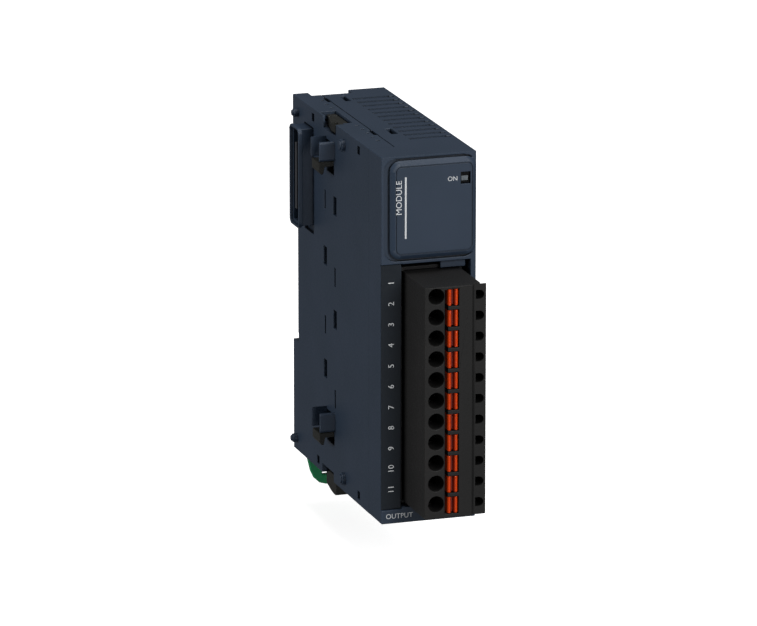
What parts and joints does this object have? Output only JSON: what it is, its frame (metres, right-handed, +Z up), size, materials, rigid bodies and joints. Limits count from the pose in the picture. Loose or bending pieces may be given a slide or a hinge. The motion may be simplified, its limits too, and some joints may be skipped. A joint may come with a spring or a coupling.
{
  "type": "plc expansion module",
  "caption": "Slim rail-mounted controller expansion module with a pull-off spring terminal plug, side bus connector, module lock slide and rail clip.",
  "frame": {"origin": "middle of the flat seat that lies against the front of the 35 mm rail, half way across the module's width and on the rail's centre line", "axes": "+Z up as mounted on a level rail, +Y towards the rail and the wall, +X to the right when facing the module, so the plug faces -Y"},
  "size_m": [0.0275, 0.0846, 0.0998],
  "materials": {
    "case_plastic": "fine spark-textured polycarbonate blend",
    "label_film": "printed polyester film",
    "smoked_plastic": "smooth black",
    "light_guide": "clear to milky acrylic",
    "plug_plastic": "fine-textured glass-filled polyamide",
    "header_plastic": "smooth moulded polyester",
    "button_plastic": "smooth moulded polyamide",
    "clip_plastic": "smooth moulded acetal",
    "slide_plastic": "smooth moulded acetal",
    "board_laminate": "solder-masked glass laminate",
    "tinned_brass": "tin-plated",
    "spring_steel": "bright stamped strip",
    "chip_epoxy": "moulded epoxy",
    "can_aluminium": "drawn can",
    "core_ferrite": "sintered and lacquered"
  },
  "bodies": {
    "case": {"main_housing": "case_plastic", "side_cover": "case_plastic", "front_panel": "case_plastic", "bus_shroud": "case_plastic", "label_strip": "label_film", "lamp_holder": "smoked_plastic", "light_guide": "light_guide", "status_led": "light_guide", "terminal_header": "header_plastic", "bus_tongue": "header_plastic", "bus_socket": "header_plastic", "bus_riser": "header_plastic", "header_pin_1": "tinned_brass", "header_pin_2": "tinned_brass", "header_pin_3": "tinned_brass", "header_pin_4": "tinned_brass", "header_pin_5": "tinned_brass", "header_pin_6": "tinned_brass", "header_pin_7": "tinned_brass", "header_pin_8": "tinned_brass", "header_pin_9": "tinned_brass", "header_pin_10": "tinned_brass", "header_pin_11": "tinned_brass", "circuit_board": "board_laminate", "power_converter": "chip_epoxy", "logic_chip": "chip_epoxy", "analogue_chip": "chip_epoxy", "bus_isolator": "chip_epoxy", "capacitor_1": "can_aluminium", "capacitor_2": "can_aluminium", "isolation_transformer": "core_ferrite"},
    "terminal_plug": {"terminal_plug": "plug_plastic", "wire_clamp_1": "spring_steel", "wire_clamp_2": "spring_steel", "wire_clamp_3": "spring_steel", "wire_clamp_4": "spring_steel", "wire_clamp_5": "spring_steel", "wire_clamp_6": "spring_steel", "wire_clamp_7": "spring_steel", "wire_clamp_8": "spring_steel", "wire_clamp_9": "spring_steel", "wire_clamp_10": "spring_steel", "wire_clamp_11": "spring_steel"},
    "lock_slide": {"lock_slide": "slide_plastic"},
    "rail_clip": {"rail_clip": "clip_plastic"},
    "release_button_1": {"release_button_1": "button_plastic"},
    "release_button_2": {"release_button_2": "button_plastic"},
    "release_button_3": {"release_button_3": "button_plastic"},
    "release_button_4": {"release_button_4": "button_plastic"},
    "release_button_5": {"release_button_5": "button_plastic"},
    "release_button_6": {"release_button_6": "button_plastic"},
    "release_button_7": {"release_button_7": "button_plastic"},
    "release_button_8": {"release_button_8": "button_plastic"},
    "release_button_9": {"release_button_9": "button_plastic"},
    "release_button_10": {"release_button_10": "button_plastic"},
    "release_button_11": {"release_button_11": "button_plastic"}
  },
  "joints": [
    {"name": "terminal_plug_slide", "type": "slide", "parent": "case", "child": "terminal_plug", "axis": [0, -1, 0], "range_m": [0, 0.015]},
    {"name": "lock_slide_travel", "type": "slide", "parent": "case", "child": "lock_slide", "axis": [0, 0, 1], "range_m": [0, 0.003]},
    {"name": "rail_clip_travel", "type": "slide", "parent": "case", "child": "rail_clip", "axis": [0, 0, -1], "range_m": [0, 0.005], "stiffness_N_per_m": 1500, "springref_m": -0.001},
    {"name": "release_button_1_press", "type": "slide", "parent": "terminal_plug", "child": "release_button_1", "axis": [0, 1, 0], "range_m": [0, 0.001], "stiffness_N_per_m": 800},
    {"name": "release_button_2_press", "type": "slide", "parent": "terminal_plug", "child": "release_button_2", "axis": [0, 1, 0], "range_m": [0, 0.001], "stiffness_N_per_m": 800},
    {"name": "release_button_3_press", "type": "slide", "parent": "terminal_plug", "child": "release_button_3", "axis": [0, 1, 0], "range_m": [0, 0.001], "stiffness_N_per_m": 800},
    {"name": "release_button_4_press", "type": "slide", "parent": "terminal_plug", "child": "release_button_4", "axis": [0, 1, 0], "range_m": [0, 0.001], "stiffness_N_per_m": 800},
    {"name": "release_button_5_press", "type": "slide", "parent": "terminal_plug", "child": "release_button_5", "axis": [0, 1, 0], "range_m": [0, 0.001], "stiffness_N_per_m": 800},
    {"name": "release_button_6_press", "type": "slide", "parent": "terminal_plug", "child": "release_button_6", "axis": [0, 1, 0], "range_m": [0, 0.001], "stiffness_N_per_m": 800},
    {"name": "release_button_7_press", "type": "slide", "parent": "terminal_plug", "child": "release_button_7", "axis": [0, 1, 0], "range_m": [0, 0.001], "stiffness_N_per_m": 800},
    {"name": "release_button_8_press", "type": "slide", "parent": "terminal_plug", "child": "release_button_8", "axis": [0, 1, 0], "range_m": [0, 0.001], "stiffness_N_per_m": 800},
    {"name": "release_button_9_press", "type": "slide", "parent": "terminal_plug", "child": "release_button_9", "axis": [0, 1, 0], "range_m": [0, 0.001], "stiffness_N_per_m": 800},
    {"name": "release_button_10_press", "type": "slide", "parent": "terminal_plug", "child": "release_button_10", "axis": [0, 1, 0], "range_m": [0, 0.001], "stiffness_N_per_m": 800},
    {"name": "release_button_11_press", "type": "slide", "parent": "terminal_plug", "child": "release_button_11", "axis": [0, 1, 0], "range_m": [0, 0.001], "stiffness_N_per_m": 800}
  ]
}
